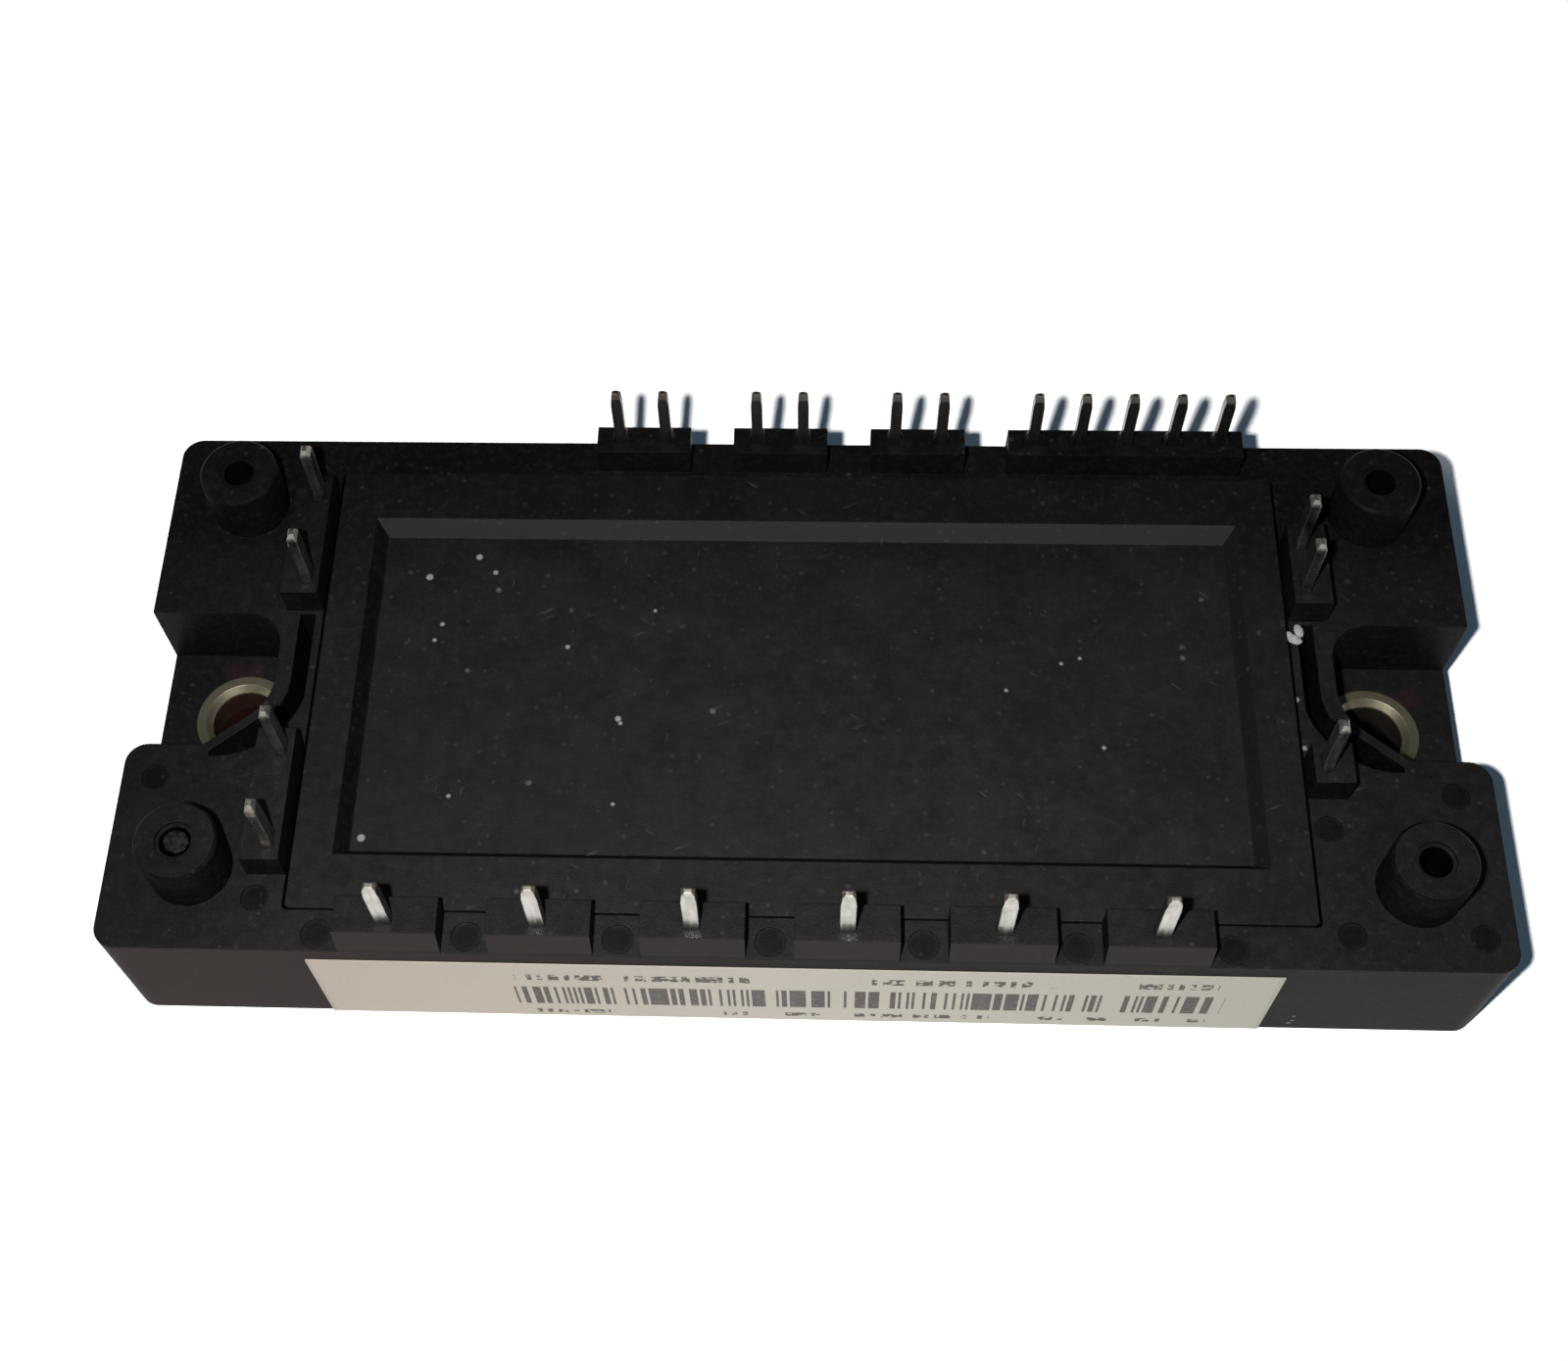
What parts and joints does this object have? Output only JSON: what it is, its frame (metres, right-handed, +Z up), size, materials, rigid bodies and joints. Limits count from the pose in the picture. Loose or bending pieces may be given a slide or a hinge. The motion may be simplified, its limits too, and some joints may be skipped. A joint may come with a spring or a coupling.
{
  "type": "igbt power module",
  "caption": "Flat black moulded power module: shallow pan lid, raised pin blocks round the rim, two end screw notches and four round board supports.",
  "frame": {"origin": "centre of the base plate's underside, on the heat sink face", "axes": "+X along the case from one screw notch to the other, +Y from the labelled side to the back row of pins, +Z up along the pins"},
  "size_m": [0.1064, 0.0463, 0.0229],
  "materials": {
    "black_plastic": "glass-filled moulded plastic with a dull sheen, ejector marks and fine dust",
    "lid_plastic": "dull moulded plastic with dust specks and light scratches",
    "label_paper": "plain cream label with a satin face",
    "bushing_brass": "turned brass, lightly tarnished",
    "nickel_copper": "copper plate with a dull nickel finish",
    "tinned_copper": "tin-plated copper, bronze at the sheared sides",
    "chip_metal": "silicon chip with a metallised face",
    "copper": "bare bonded copper",
    "ceramic": "white alumina",
    "solder": "dull solder",
    "aluminium_wire": "drawn aluminium wire",
    "clear_gel": "soft clear silicone gel",
    "ceramic_tan": "sintered ceramic with end caps",
    "sealant": "cured silicone sealant"
  },
  "bodies": {
    "root": {"base_plate": "nickel_copper", "case": "black_plastic", "lid": "lid_plastic", "label": "label_paper", "bushing_left": "bushing_brass", "bushing_right": "bushing_brass", "adhesive_seal": "sealant", "solder_layer": "solder", "lower_copper": "copper", "ceramic_substrate": "ceramic", "copper_tracks": "copper", "bond_wires": "aluminium_wire", "silicone_gel": "clear_gel", "igbt_high_1": "chip_metal", "igbt_high_2": "chip_metal", "igbt_high_3": "chip_metal", "igbt_low_1": "chip_metal", "igbt_low_2": "chip_metal", "igbt_low_3": "chip_metal", "igbt_brake": "chip_metal", "diode_high_1": "chip_metal", "diode_high_2": "chip_metal", "diode_high_3": "chip_metal", "diode_low_1": "chip_metal", "diode_low_2": "chip_metal", "diode_low_3": "chip_metal", "diode_brake": "chip_metal", "rectifier_top_1": "chip_metal", "rectifier_top_2": "chip_metal", "rectifier_top_3": "chip_metal", "rectifier_bottom_1": "chip_metal", "rectifier_bottom_2": "chip_metal", "rectifier_bottom_3": "chip_metal", "thermistor": "ceramic_tan", "pin_front_1": "tinned_copper", "pin_front_2": "tinned_copper", "pin_front_3": "tinned_copper", "pin_front_4": "tinned_copper", "pin_front_5": "tinned_copper", "pin_front_6": "tinned_copper", "pin_back_1": "tinned_copper", "pin_back_2": "tinned_copper", "pin_back_3": "tinned_copper", "pin_back_4": "tinned_copper", "pin_back_5": "tinned_copper", "pin_back_6": "tinned_copper", "pin_back_7": "tinned_copper", "pin_back_8": "tinned_copper", "pin_back_9": "tinned_copper", "pin_back_10": "tinned_copper", "pin_back_11": "tinned_copper", "pin_left_1": "tinned_copper", "pin_left_2": "tinned_copper", "pin_left_3": "tinned_copper", "pin_left_4": "tinned_copper", "pin_right_1": "tinned_copper", "pin_right_2": "tinned_copper", "pin_right_3": "tinned_copper"}
  },
  "joints": []
}
